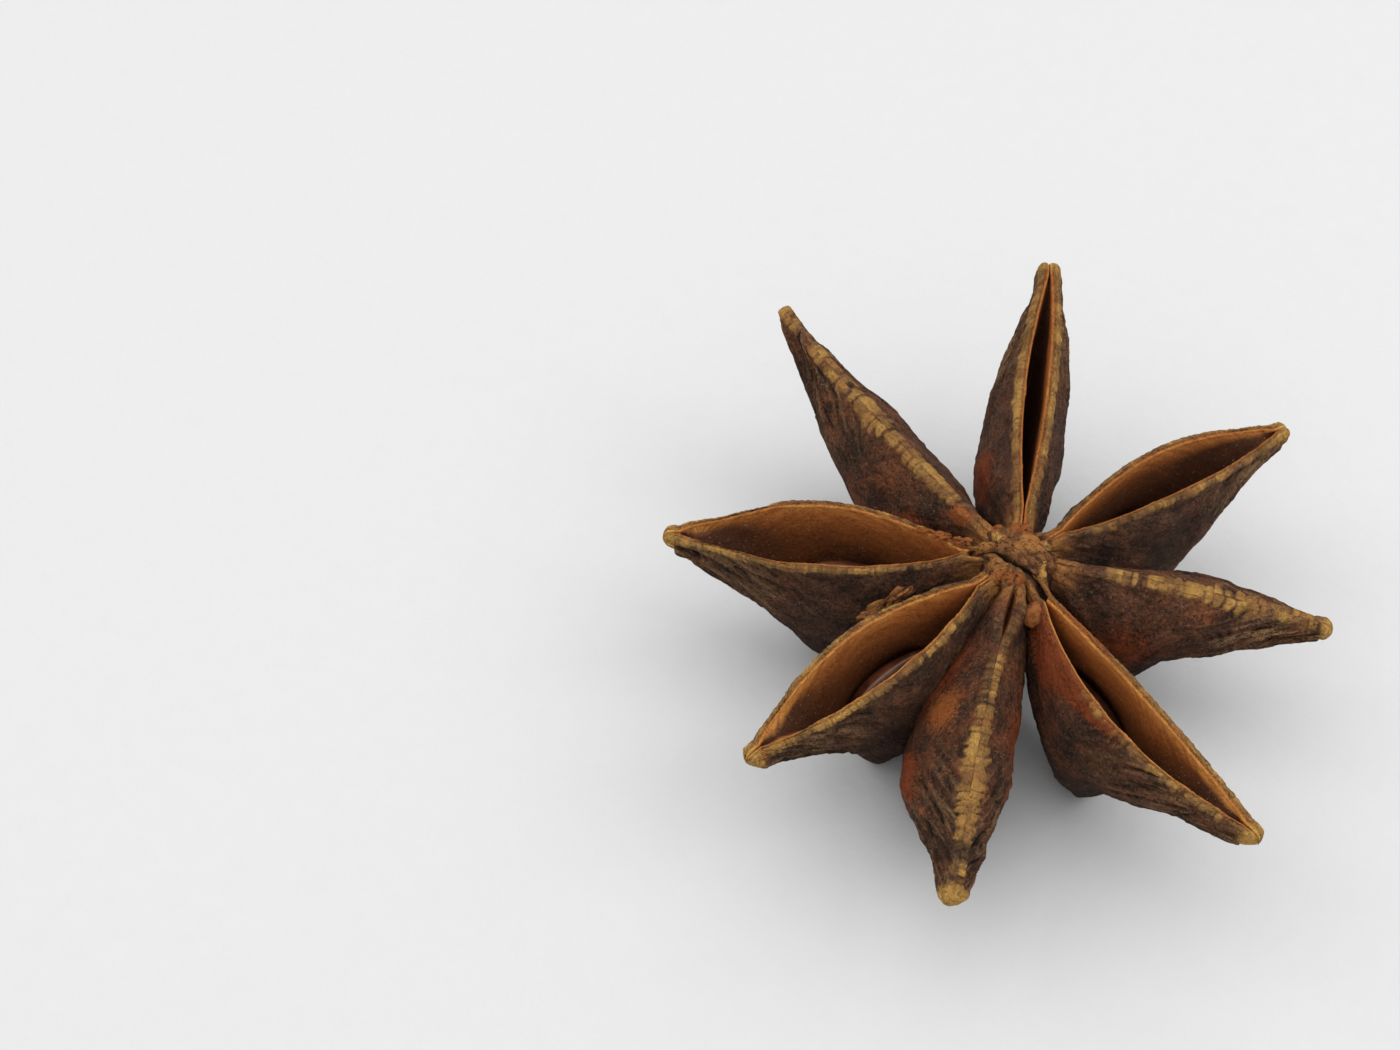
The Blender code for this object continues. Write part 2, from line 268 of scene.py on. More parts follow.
LOOKS = {
    "right": Looks(
        ((0.0, 0.02), (0.22, 0.03), (0.30, 0.07), (0.52, 0.09), (0.60, 0.24), (0.72, 0.34), (0.82, 0.18),
         (1.0, 0.15)), 0.55, 0.8, 0.65,
        spots=(Spot("red", 0.36, -0.60, 2.0, 0.28, 0.6), Spot("dark", 0.45, -0.12, 4.0, 0.30),
               Spot("tan", 0.78, -0.72, 2.0, 0.16, 0.55), Spot("dark", 0.60, -0.62, 1.2, 0.12, 0.5))),
    "back_right": Looks(
        OPEN_BAND, 0.24, 0.25, 0.15, 0.0, 0.75, 0.4,
        (Spot("red", 0.27, -0.50, 1.3, 0.22, 0.4), Spot("dark", 0.50, -0.70, 3.5, 0.28, 0.6),
         Spot("tan", 0.84, -0.70, 1.8, 0.25, 0.7))),
    "back": Looks(
        ((0.0, 0.08), (0.2, 0.22), (0.5, 0.30), (0.8, 0.30), (1.0, 0.3)), 0.22, 0.3, 0.6, 0.0, 0.7, 0.3,
        (Spot("red", 0.33, 0.62, 1.6, 0.24, 0.8), Spot("red", 0.28, -0.60, 1.3, 0.22, 0.4),
         Spot("tan", 0.70, 0.75, 2.6, 0.20, 0.55), Spot("dark", 0.62, 0.50, 2.0, 0.18, 0.8))),
    "back_left": Looks(
        ((0.0, 0.02), (0.18, 0.07), (0.36, 0.20), (0.56, 0.34), (0.70, 0.20), (0.85, 0.06), (1.0, 0.1)),
        0.80, 0.8, 0.75,
        spots=(Spot("red", 0.28, 0.60, 1.5, 0.22, 1.0), Spot("orange", 0.16, 0.97, 0.8, 0.08, 0.7),
               Spot("dark", 0.78, 0.50, 2.4, 0.40, 0.7))),
    "left": Looks(
        OPEN_BAND, 0.26, 0.25, 0.3, 0.0, 0.10, 0.7,
        (Spot("red", 0.22, 0.62, 1.5, 0.20, 0.5), Spot("dark", 0.45, 0.25, 4.5, 0.20, 0.7),
         Spot("tan", 0.68, 0.60, 1.8, 0.07, 0.5), Spot("tan", 0.84, 0.80, 1.4, 0.14, 0.6),
         Spot("orange", 0.18, -1.0, 0.9, 0.08, 0.9))),
    "front_left": Looks(
        OPEN_BAND, 0.25, 0.3, 0.1, 0.0, 0.10, 1.0,
        (Spot("dark", 0.42, 0.45, 4.5, 0.35, 0.8), Spot("tan", 0.80, 0.80, 1.4, 0.12, 0.5),
         Spot("orange", 0.97, 0.9, 0.5, 0.6, 0.6), Spot("red", 0.45, -0.7, 2.5, 0.3, 0.6))),
    "front": Looks(
        ((0.0, 0.0), (0.10, 0.04), (0.24, 0.03), (0.36, 0.06), (0.50, 0.10), (0.57, 0.32), (0.70, 0.34),
         (0.79, 0.18), (0.88, 0.05), (1.0, 0.1)), 0.50, 0.7, 0.95, 0.3, 1.0,
        spots=(Spot("orange", 0.44, -0.84, 1.4, 0.10, 0.75), Spot("red", 0.30, -0.60, 2.6, 0.30, 0.9),
               Spot("red", 0.45, 0.70, 2.6, 0.22, 0.6), Spot("orange", 0.72, -0.62, 0.5, 0.08, 0.7),
               Spot("red", 0.60, -0.55, 1.5, 0.20, 0.8), Spot("dark", 0.70, -0.64, 0.35, 0.05, 0.9),
               Spot("dark", 0.86, -0.85, 0.7, 0.30, 0.8), Spot("dark", 0.87, 0.95, 0.6, 0.25, 0.9)),
        dents=(Dent(0.68, -0.64, 0.45, 0.07, 0.28), Dent(0.60, -0.50, 1.1, 0.18, -0.18)),
        split=(0.15, 1.3, 0.5)),
    "front_right": Looks(
        ((0.0, 0.03), (0.35, 0.05), (0.60, 0.25), (0.85, 0.35), (1.0, 0.4)), 0.34, 0.4, 0.65, 0.6, 0.0, 1.0,
        (Spot("red", 0.24, -0.90, 2.4, 0.20, 0.8), Spot("red", 0.45, -1.0, 2.6, 0.08, 0.9),
         Spot("dark", 0.50, -0.30, 3.5, 0.22, 0.7), Spot("orange", 0.25, 0.97, 2.6, 0.08, 0.8))),
}


@dataclass
class Patch:
    """A coloured swelling on the column's top: its middle, half-sizes and rise in mm."""

    kind: str
    x: float
    y: float
    width: float
    depth: float
    rise: float
    amount: float = 1.0


HUB_PATCHES = (
    Patch("orange", 0.05, 1.25, 0.55, 0.40, 0.10),
    Patch("tan", -0.95, 0.55, 0.32, 0.30, 0.10, 0.7),
    Patch("orange", -1.30, 1.20, 0.45, 0.30, 0.08, 0.9),
    Patch("tan", 1.15, -0.80, 0.20, 0.60, 0.08, 0.7),
    Patch("orange", 0.10, -1.40, 0.40, 0.40, 0.08, 0.6),
    Patch("orange", -0.60, -1.30, 0.35, 0.35, 0.08, 0.6),
    Patch("tan", 1.30, 0.60, 0.40, 0.25, 0.05, 0.6),
    Patch("ochre", 0.60, 0.50, 0.60, 0.50, 0.04),
    Patch("ochre", -1.60, 0.05, 0.50, 0.25, 0.04),
)


@dataclass
class Bit:
    """A torn bit or a crumb: its middle along, across and above a follicle, and its half-sizes."""

    name: str
    follicle: str
    share: float
    across: float
    z: float
    length: float
    width: float
    height: float
    roughness: float
    colours: tuple  # how much ochre, orange and tan


BITS = (
    Bit("knob", "front", 0.130, 1.10, 7.70, 0.64, 0.46, 0.52, 0.05, (0.3, 0.46, 0.0)),
    Bit("torn_rind", "front_left", 0.37, -1.78, 8.10, 1.15, 0.24, 0.48, 0.9, (0.2, 0.35, 0.0)),
    Bit("crumb_a", "left", 0.185, -0.62, 8.32, 0.40, 0.20, 0.14, 0.7, (0.1, 0.6, 0.0)),
    Bit("crumb_b", "left", 0.245, -0.82, 8.40, 0.30, 0.13, 0.11, 0.7, (0.1, 0.6, 0.0)),
    Bit("crumb_c", "left", 0.130, -0.45, 8.20, 0.34, 0.22, 0.18, 0.7, (0.3, 0.5, 0.0)),
    Bit("flake_left", "left", 0.63, 1.52, 4.60, 0.38, 0.12, 0.16, 0.5, (0.3, 0.2, 0.0)),
    Bit("flake_back", "back", 0.60, 1.30, 6.20, 0.42, 0.16, 0.26, 0.5, (0.0, 0.0, 0.0)),
)


@dataclass
class Seed:
    """One flattened egg-shaped seed, standing on edge in its follicle."""

    follicle: str
    centre_at: float
    length: float
    height: float
    thickness: float
    pitch: float


SEEDS = (
    Seed("back_right", 0.42, 4.7, 3.5, 1.6, -8.0),
    Seed("left", 0.44, 5.2, 3.9, 1.8, -9.0),
    Seed("front_left", 0.44, 4.9, 3.7, 1.7, -9.0),
    Seed("front_right", 0.40, 4.8, 3.7, 1.6, -9.0),
)


def noise_lattice():
    """Random unit vectors at the corners of the noise's cells."""
    vectors = np.random.default_rng(NOISE_SEED).normal(size=(NOISE_CELLS,) * 3 + (3,))
    return vectors / np.linalg.norm(vectors, axis=-1, keepdims=True)


LATTICE = noise_lattice()


def noise(places, shift=0):
    """Smooth noise, about -1 to 1, at places counted in cells. Another shift gives another pattern."""
    places = places + shift * NOISE_STRIDE
    cells = np.floor(places).astype(int)
    parts = places - cells
    ease = parts ** 3 * (parts * (6 * parts - 15) + 10)
    total = np.zeros(places.shape[:-1])
    for corner in np.ndindex(2, 2, 2):
        corner = np.array(corner)
        index = (cells + corner) % NOISE_CELLS
        vectors = LATTICE[index[..., 0], index[..., 1], index[..., 2]]
        weights = np.prod(np.where(corner, ease, 1 - ease), axis=-1)
        total += weights * np.sum(vectors * (parts - corner), axis=-1)
    return NOISE_GAIN * total


def layered_noise(places, layers, shift=0):
    """Noise with finer and fainter noise on top."""
    return sum(0.5 ** i * noise(places * 2 ** i, shift + i) for i in range(layers))


def joined(*parts):
    """Coordinates put together as points."""
    return np.stack(np.broadcast_arrays(*parts), axis=-1)


def around(radius, turn, z):
    """Points at a radius and an angle round an axis."""
    return joined(radius * np.cos(turn), radius * np.sin(turn), z)


def clamp(values):
    """Keep values between 0 and 1."""
    return np.clip(values, 0.0, 1.0)


def step_between(low, high, values):
    """Rise smoothly from 0 at low to 1 at high."""
    part = clamp((values - low) / (high - low))
    return part * part * (3 - 2 * part)


def bump(values, middle, half_width):
    """A soft bump, 1 at its middle."""
    return np.exp(-((values - middle) / half_width) ** 2)


def along(points, places):
    """Read a smooth curve through (place, value) points: cubic, with no overshoot between them."""
    xs, ys = np.array(points).T
    steps = np.diff(ys) / np.diff(xs)
    before, after = steps[:-1], steps[1:]
    turning = before * after <= 0
    inner = np.where(turning, 0.0, 2 * before * after / np.where(turning, 1.0, before + after))
    slopes = np.concatenate((steps[:1], inner, steps[-1:]))
    places = np.clip(places, xs[0], xs[-1])
    i = np.clip(np.searchsorted(xs, places, side="left") - 1, 0, len(steps) - 1)
    gap = xs[i + 1] - xs[i]
    t = (places - xs[i]) / gap
    return ((1 + 2 * t) * (1 - t) ** 2 * ys[i] + t * (1 - t) ** 2 * gap * slopes[i]
            + t * t * (3 - 2 * t) * ys[i + 1] + t * t * (t - 1) * gap * slopes[i + 1])


def beak_half_height(share):
    """Half of the beak's height, which is round at its end."""
    return BEAK_HALF_HEIGHT * np.sqrt(1 - clamp((share - BEAK_AT) / (1 - BEAK_AT)) ** 2)


def crest_height(arm, share):
    """Height of the suture: from the column over the crest to the tip."""
    base_z = COLUMN_TOP_Z - BASE_CREST_DROP
    inner_z = base_z + INNER_CREST_RISE * (arm.crest_z - base_z)
    beak_z = arm.tip_z + BEAK_HALF_HEIGHT
    points = ((0.0, base_z), (INNER_CREST_AT, inner_z), (CREST_AT, arm.crest_z), (BEAK_AT, beak_z))
    return np.where(share > BEAK_AT, arm.tip_z + beak_half_height(share), along(points, share))


def keel_height(arm, share):
    """Height of the keel: down from the column to its lowest place, then up to the tip."""
    fall = np.sin(0.5 * np.pi * clamp(share / arm.deep_at)) ** KEEL_FALL
    falling = BASE_KEEL_Z + (arm.keel_z - BASE_KEEL_Z) * fall
    beak_z = arm.tip_z - BEAK_HALF_HEIGHT
    climb = clamp((share - arm.deep_at) / (1 - arm.deep_at))
    climbing = arm.keel_z + (beak_z - arm.keel_z) * climb ** arm.rise * clamp(climb / KEEL_FLAT)
    ending = arm.tip_z - beak_half_height(share)
    return np.where(share < arm.deep_at, falling, np.where(share > BEAK_AT, ending, climbing))


def mouth_part(share):
    """How far along the mouth a share is: 0 at its inner end, 1 at its outer end."""
    return clamp((share - MOUTH_START) / (MOUTH_END - MOUTH_START))


def half_width(arm, share, height):
    """Half of the follicle's outer width, at a height from 0 at the keel to 1 at the crest."""
    beak = 1 + (arm.beak - 1) * clamp((share - BEAK_START) / (BEAK_FULL - BEAK_START))
    widest = 0.5 * arm.width * along(WIDTH_ALONG, share) * beak * beak_half_height(share) / BEAK_HALF_HEIGHT
    top = np.minimum(RIDGE_HALF_WIDTH + SPLIT_SPREAD * split_depth(arm, share), widest)
    if arm.gape:
        top = np.minimum(mouth_half_width(arm, share) + LIP_THICKNESS, LIP_FLARE * widest)
    low = widest * np.sin(0.5 * np.pi * clamp(height / WIDEST_HEIGHT)) ** KEEL_BLUNTNESS
    climb = clamp((height - WIDEST_HEIGHT) / (1 - WIDEST_HEIGHT))
    high = top + (widest - top) * (1 - climb ** RIDGE_FULLNESS)
    return np.where(height < WIDEST_HEIGHT, low, high)


def place_on_arm(arm, share, across, z):
    """Turn places on a follicle into points of the pod: the lean, the bow and the azimuth."""
    middle_z = 0.5 * (arm.crest_z + arm.keel_z)
    lean = math.tan(math.radians(arm.lean))
    across = across + lean * (z - middle_z) * np.sin(np.pi * clamp(share)) ** 0.5
    across = across + arm.bow * np.sin(np.pi * clamp(share))
    outward = INNER_START + share * (arm.reach - INNER_START)
    azimuth = math.radians(arm.azimuth)
    x = outward * math.cos(azimuth) - across * math.sin(azimuth)
    y = outward * math.sin(azimuth) + across * math.cos(azimuth)
    return joined(x, y, z)


def split_depth(arm, share):
    """How deep a shut suture gapes where it has split."""
    split = LOOKS[arm.name].split
    if not split:
        return np.zeros_like(share)
    middle, length, depth = split
    return depth * bump(share * arm.reach, middle * arm.reach, length)


def hollow_floor(arm, share):
    """Height of the hollow's floor, which rises to a groove at both ends of the mouth."""
    crest = crest_height(arm, share)
    deepest = crest - keel_height(arm, share) - FLOOR_THICKNESS
    depth = np.maximum(deepest, 0.0) * np.abs(np.sin(np.pi * mouth_part(share))) ** FLOOR_SQUARENESS
    if arm.gape:
        return crest - np.maximum(depth, GROOVE_DEPTH)
    return crest - SHUT_DEPTH - split_depth(arm, share)


def mouth_half_width(arm, share):
    """Half of the width between the lips."""
    if not arm.gape:
        return GROOVE_HALF_WIDTH * (1 + SPLIT_WIDENING * split_depth(arm, share))
    half_gape = 0.5 * arm.gape * np.abs(np.sin(np.pi * mouth_part(share))) ** MOUTH_FULLNESS
    return np.maximum(GROOVE_HALF_WIDTH, half_gape)


def seed_middle_z(arm, seed):
    """Height of a seed's middle."""
    return hollow_floor(arm, np.array(seed.centre_at)) + SEED_LIFT + 0.5 * seed.height


def chamber_half_width(arm, share, z):
    """Half of the width of the chamber that fits round the follicle's seed."""
    for seed in SEEDS:
        if seed.follicle == arm.name:
            far = (share - seed.centre_at) * arm.reach / (0.5 * seed.length + CHAMBER_CLEARANCE)
            up = (z - seed_middle_z(arm, seed)) / (0.5 * seed.height + CHAMBER_CLEARANCE)
            return (0.5 * seed.thickness + CHAMBER_CLEARANCE) * np.sqrt(clamp(1 - far ** 2 - up ** 2))
    return np.zeros(np.broadcast_shapes(share.shape, z.shape))


def hollow_half_width(arm, share, z):
    """Half of the hollow's width at a height: a cleft that narrows downwards, or the seed's chamber."""
    keel = keel_height(arm, share)
    crest = crest_height(arm, share)
    floor = hollow_floor(arm, share)
    sunk = clamp((crest - z) / (crest - floor))
    cleft = mouth_half_width(arm, share) * (1 - CLEFT_TAPER * sunk ** CLEFT_FULLNESS)
    inside = np.maximum(cleft, chamber_half_width(arm, share, z))
    outside = half_width(arm, share, clamp((z - keel) / (crest - keel)))
    inside = np.minimum(inside, np.maximum(GROOVE_HALF_WIDTH, outside - WALL_THINNEST))
    up = clamp((z - floor) / np.minimum(FLOOR_ROUNDING, crest - floor))
    return inside * np.sqrt(1 - (1 - up) ** 2)


def grid_normals(points):
    """Unit normals of a grid of points, pointing out where laps turn left round the rings' way."""
    lap = np.roll(points, -1, axis=1) - np.roll(points, 1, axis=1)
    ring = np.gradient(points, axis=0)
    normals = np.cross(lap, ring)
    return normals / np.maximum(np.linalg.norm(normals, axis=-1, keepdims=True), 1e-9)


def profile_steps(arm):
    """Where the points of half a cross-section lie: their zone and how far through it they are."""
    inner = HOLLOW_STEPS if arm.gape else GROOVE_STEPS
    wall = np.arange(WALL_STEPS) / WALL_STEPS
    crown = np.arange(CROWN_STEPS) / CROWN_STEPS
    hollow = np.arange(inner + 1) / inner
    zone = np.concatenate((np.zeros(WALL_STEPS), np.ones(CROWN_STEPS), np.full(inner + 1, 2)))
    return zone, np.concatenate((wall, crown, hollow))


def gloom(arm, share, depth):
    """How much painted shade darkens a place inside: more where the mouth is narrow for the depth, deep down
    towards the tip, and by the follicle's own amount of shade.
    """
    narrow = step_between(0.5, 2.0, depth / (2 * mouth_half_width(arm, share)))
    sunk = step_between(0.05, 0.40, depth / (crest_height(arm, share) - hollow_floor(arm, share)))
    outer = step_between(0.48, 0.85, mouth_part(share))
    shade = LOOKS[arm.name].shade * step_between(0.0, 1.2 if arm.gape else 0.2, depth)
    return clamp(0.5 * narrow + sunk * outer + shade)


def follicle_grid(arm):
    """The follicle's smooth surface as a grid, with the level, the depth and the zones of its points."""
    t = np.linspace(0.0, 1.0, FOLLICLE_RINGS)
    share = (LAST_SHARE * (1 - (1 - t) * (1 - TIP_CROWDING * t)))[:, None]
    zone, part = profile_steps(arm)
    keel = keel_height(arm, share)
    crest = crest_height(arm, share)
    floor = hollow_floor(arm, share)

    height = 0.5 - 0.5 * np.cos(np.pi * part)
    wall_across = half_width(arm, share, height)
    wall_z = keel + height * (crest - keel)

    rim_outer = half_width(arm, share, np.ones_like(share))
    rim_inner = hollow_half_width(arm, share, crest)
    crown_across = 0.5 * (rim_outer + rim_inner) + 0.5 * (rim_outer - rim_inner) * np.cos(np.pi * part)
    crown_high = LIP_CROWN * np.minimum(1.0, rim_outer / LIP_THICKNESS)
    crown_z = crest + crown_high * np.sin(np.pi * part * (1.0 if arm.gape else 0.5))

    up = 0.5 + 0.5 * np.cos(np.pi * part)
    hollow_z = floor + up * (crest - floor)
    hollow_across = np.where(part < 1, hollow_half_width(arm, share, hollow_z), 0.0)
    inner_z = hollow_z if arm.gape else hollow_z + crown_high

    across = np.choose(zone.astype(int), (wall_across, crown_across, hollow_across))
    z = np.choose(zone.astype(int), (wall_z, crown_z, inner_z))
    level = np.where(zone == 0, height, 1.0)
    depth = np.where(zone == 2, crest - hollow_z, 0.0)
    chamber = np.where(zone == 2, chamber_half_width(arm, share, hollow_z), 0.0)
    lining = (zone == 1) * step_between(0.35, 0.75, part) * (1.0 if arm.gape else 0.0)
    hollow = (zone == 2) * (1.0 if arm.gape else step_between(0.05, 0.25, split_depth(arm, share)))

    girth = np.cumsum(np.hypot(np.diff(across, axis=1, prepend=0), np.diff(z, axis=1, prepend=keel)), axis=1)
    suture = girth[:, WALL_STEPS:WALL_STEPS + 1]
    below = np.maximum(0.0, suture - girth)
    stretch = np.sqrt(FULL_GIRTH / np.maximum(suture, 0.1 * FULL_GIRTH))
    girth = np.minimum(girth, suture) * stretch + np.maximum(girth - suture, 0.0)
    left = dict(share=share, across=across, z=z, level=level, depth=depth, wall=1.0 * (zone == 0),
                hollow=hollow, girth=girth, below=below, chamber=chamber, lining=lining,
                gloom=hollow * gloom(arm, share, depth))
    both = {}
    for key, values in left.items():
        values = np.broadcast_to(values, z.shape)
        sign = -1.0 if key in ("across", "level", "girth") else 1.0
        both[key] = np.concatenate((values, sign * values[:, -2:0:-1]), axis=1)
    return both


def near(grid, arm, place):
    """A soft bump round a spot's or a dent's middle, on the outside only."""
    far = (grid["share"] - place.share) * arm.reach / place.length
    up = (grid["level"] - place.level) / place.spread
    return np.exp(-far ** 2 - up ** 2) * (1 - grid["hollow"])


def spot_masks(arm, grid):
    """How strongly each kind of spot shows at each point."""
    masks = {kind: np.zeros_like(grid["z"]) for kind in ("red", "orange", "tan", "dark")}
    for spot in LOOKS[arm.name].spots:
        masks[spot.kind] += spot.amount * near(grid, arm, spot)
    return masks


def band_mask(arm, grid, strip):
    """The tan band along the suture, in uneven blocks with dark gaps, and two fields to colour it by."""
    looks = LOOKS[arm.name]
    side = np.sign(grid["level"])
    row = side if arm.gape else 0.4 * side * step_between(0.5, 0.7, grid["share"])
    strip = joined(strip[..., 0], side * grid["below"], strip[..., 2])
    wander = noise(strip * (0.8, 0.4, 1.0), 20)
    phase = (strip[..., 0] + BLOCK_SLANT * grid["below"]) / looks.pitch
    phase = phase + BLOCK_WANDER * wander + ROW_SHIFT * row
    number = np.floor(phase)
    block = 0.5 - 0.5 * np.cos(2 * np.pi * (phase - number))
    tags = joined(0.73 * number, 3.1 * row, 0.4)
    size = np.clip(1 + 1.1 * noise(tags, 21), *BLOCK_SIZES)
    tone = 0.5 + 0.3 * noise(tags, 24) + 0.3 * noise(strip * (1.1, 1.4, 1.0), 25)
    rough = EDGE_ROUGHNESS * layered_noise(strip * (2.0, 2.2, 1.0), 3, 22)
    width = along(looks.band, grid["share"]) * (1 + looks.one_sided * side)
    edge = width * (1 + looks.gaps * (size - 1))
    notch = BLOCK_NOTCH * looks.gaps * (1 - block) ** 4
    edge = edge * (1 - looks.gaps * (1 - block) ** 3) - notch + rough
    shown = step_between(0.01, 0.07, width)
    return shown * (1 - step_between(-0.14, 0.12, grid["below"] - edge)), block, tone


def relief(arm, grid, number):
    """How far each point stands out of the smooth surface, in mm, with the fields that colour it."""
    strip = joined(grid["share"] * arm.reach, grid["girth"], 9.7 * number)
    level = np.abs(grid["level"])
    lumps = layered_noise(strip * (0.45, 0.50, 1.0), 2, 1)
    bent = strip + 0.5 * lumps[..., None] * (0.0, 1.0, 0.0)
    crease = np.abs(noise(bent * (0.22, 1.0, 1.0), 3))
    fine_crease = np.abs(noise(bent * (0.45, 2.4, 1.0), 4))
    grain = layered_noise(strip * (3.0, 3.0, 1.0), 2, 6)
    band, block, tone = band_mask(arm, grid, strip)
    teeth = 0.25 * (2 * block - 1) + 0.75 * noise(strip * (4.4, 1.2, 1.0), 8)

    beak = step_between(0.50, 0.80, grid["share"])
    furrow = step_between(0.0, 0.20, crease) * 0.6 + step_between(0.0, 0.25, fine_crease) * 0.4
    outside = 1 - grid["hollow"]
    rib_zone = (1 - step_between(0.15, 0.6, grid["below"])) * outside
    furrow_depth = FURROW_DEPTH + BEAK_FURROW_DEPTH * beak
    stands = LUMP_RISE * lumps + furrow_depth * (furrow - 0.8) + GRAIN_RISE * grain
    ribs = RIB_RISE * teeth + LIP_GRAIN_RISE * grain
    stands = grid["wall"] * stands * (1 - 0.7 * rib_zone) + rib_zone * ribs
    stands += BAND_RISE * band * grid["wall"]
    split = split_depth(arm, grid["share"]) * outside
    stands += SPLIT_RISE * split * bump(grid["below"], 0.1, 0.35)
    stands += CROWN_WAVES * (1 - grid["wall"]) * outside * noise(strip * (0.8, 0.3, 1.0), 26)
    stands += grid["hollow"] * HOLLOW_LUMPS * lumps * step_between(0.0, 0.8, grid["depth"])
    stands *= 0.3 + 0.7 * step_between(0.0, 0.08, level)
    for dent in LOOKS[arm.name].dents:
        stands -= dent.depth * near(grid, arm, dent)
    stands *= step_between(0.0, 0.025, 1 - grid["share"])
    worn = 0.45 + 0.55 * step_between(-0.35, 0.25, layered_noise(strip * (0.8, 0.5, 1.0), 3, 28))
    worn *= 0.35 + 0.65 * step_between(0.08, 0.28, grid["share"])
    return stands, dict(furrow=furrow, band=band * worn * outside, teeth=0.5 + 0.5 * teeth, tone=tone,
                        beak=beak)


def grid_mesh(name, points, fields):
    """A closed mesh over a grid whose laps close on themselves, with a fan at both ends."""
    rings, sides = points.shape[:2]
    ends = np.stack((points[0].mean(axis=0), points[-1].mean(axis=0)))
    coords = np.concatenate((points.reshape(-1, 3), ends)) * MM
    ring = np.arange(rings - 1)[:, None] * sides
    lap = np.arange(sides)
    after = (lap + 1) % sides
    quads = joined(ring + lap, ring + after, ring + sides + after, ring + sides + lap).reshape(-1, 4)
    first, last = rings * sides, rings * sides + 1
    fans = [(first, int(b), int(a)) for a, b in zip(lap, after)]
    top = (rings - 1) * sides
    fans += [(last, int(top + a), int(top + b)) for a, b in zip(lap, after)]
    mesh = bpy.data.meshes.new(name)
    mesh.from_pydata(coords.tolist(), [], quads.tolist() + fans)
    for field, values in fields.items():
        flat = values.reshape(-1)
        flat = np.concatenate((flat, (values[0].mean(), values[-1].mean())))
        mesh.attributes.new(field, "FLOAT", "POINT").data.foreach_set("value", flat.astype(np.float32))
    mesh.polygons.foreach_set("use_smooth", np.ones(len(mesh.polygons), dtype=bool))
    mesh.update()
    return mesh


def column_axis():
    """Where the column's axis meets the ground, in metres."""
    low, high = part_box("pod")
    x, y = (0.5 * (low[i] + high[i]) + COLUMN_AT[i] * MM for i in range(2))
    return Vector((x, y, low.z))


def add_object(name, data):
    """Add an object to the scene."""
    added = bpy.data.objects.new(name, data)
    bpy.context.scene.collection.objects.link(added)
    return added


def place_piece(mesh, material, nodes=("pod",)):
    """Put a piece on the column's axis, for the CAD nodes that it stands for."""
    piece = add_object(mesh.name, mesh)
    piece.location = column_axis()
    mesh.materials.append(material)
    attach(piece, "root")
    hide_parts(*nodes)


def follicle_piece(arm, number, material):
    """One follicle, with its wrinkles, ribs and spots."""
    looks = LOOKS[arm.name]
    grid = follicle_grid(arm)
    points = place_on_arm(arm, grid["share"], grid["across"], grid["z"])
    stands, fields = relief(arm, grid, number)
    top = step_between(*HUB_ZONE_Z, points[..., 2])
    crack = crack_mask(points[..., 0], points[..., 1]) * top
    base = (1 - step_between(*HUB_ZONE_RADIUS, np.hypot(points[..., 0], points[..., 1]))) * top
    stands -= CRACK_IN_LIPS * crack
    points += grid_normals(points) * stands[..., None]
    points[..., 2] = np.maximum(points[..., 2], 0.0)
    hollow = np.maximum(grid["hollow"], grid["lining"])
    mouth = 2 * mouth_half_width(arm, grid["share"])
    # the lips' inner edge: its own orange, brightened by painted light, fading with depth and sooner where
    # the mouth is narrow
    rim = 1 - step_between(0.10, 0.50, grid["depth"] * np.maximum(1.0, RIM_MOUTH / mouth))
    fields.update(spot_masks(arm, grid), crack=crack, base=base, hollow=hollow, depth=grid["depth"],
                  gloom=grid["gloom"], level=np.abs(grid["level"]), along=grid["share"] * arm.reach,
                  girth=grid["girth"] + FOLLICLE_STRIDE * number, rim=looks.rim * hollow * rim,
                  redness=np.full_like(grid["z"], looks.redness),
                  chamber=step_between(0.3, 0.9, grid["chamber"]),
                  tip=step_between(0.945, 0.98, grid["share"]))
    place_piece(grid_mesh(f"follicle_{arm.name}", points, fields), material)


def ridge_relief(x, y):
    """The lips that run on over the column's top: two low ridges and a groove towards each follicle."""
    total = np.zeros_like(x)
    for arm in FOLLICLES:
        azimuth = math.radians(arm.azimuth)
        outward = x * math.cos(azimuth) + y * math.sin(azimuth)
        across = np.abs(y * math.cos(azimuth) - x * math.sin(azimuth))
        shown = step_between(0.4, 1.4, outward)
        total += shown * (LIP_RIDGE * bump(across, 0.26, 0.15) - LIP_GROOVE * bump(across, 0.0, 0.10))
    return total


def hub_arms(turn):
    """How far the column's top reaches out at a turn round it, from 0 between follicles to 1 at one."""
    reaches = [bump((180 * turn - arm.azimuth + 180) % 360 - 180, 0.0, HUB_ARM_WIDTH) for arm in FOLLICLES]
    return np.max(reaches, axis=0)


def crack_mask(x, y):
    """The crack across the column's top, along a broken line."""
    nearest = np.full_like(x, np.inf)
    for (x0, y0), (x1, y1) in zip(CRACK, CRACK[1:]):
        length = (x1 - x0) ** 2 + (y1 - y0) ** 2
        part = clamp(((x - x0) * (x1 - x0) + (y - y0) * (y1 - y0)) / length)
        nearest = np.minimum(nearest, np.hypot(x - x0 - part * (x1 - x0), y - y0 - part * (y1 - y0)))
    return bump(nearest, 0.0, CRACK_HALF_WIDTH)


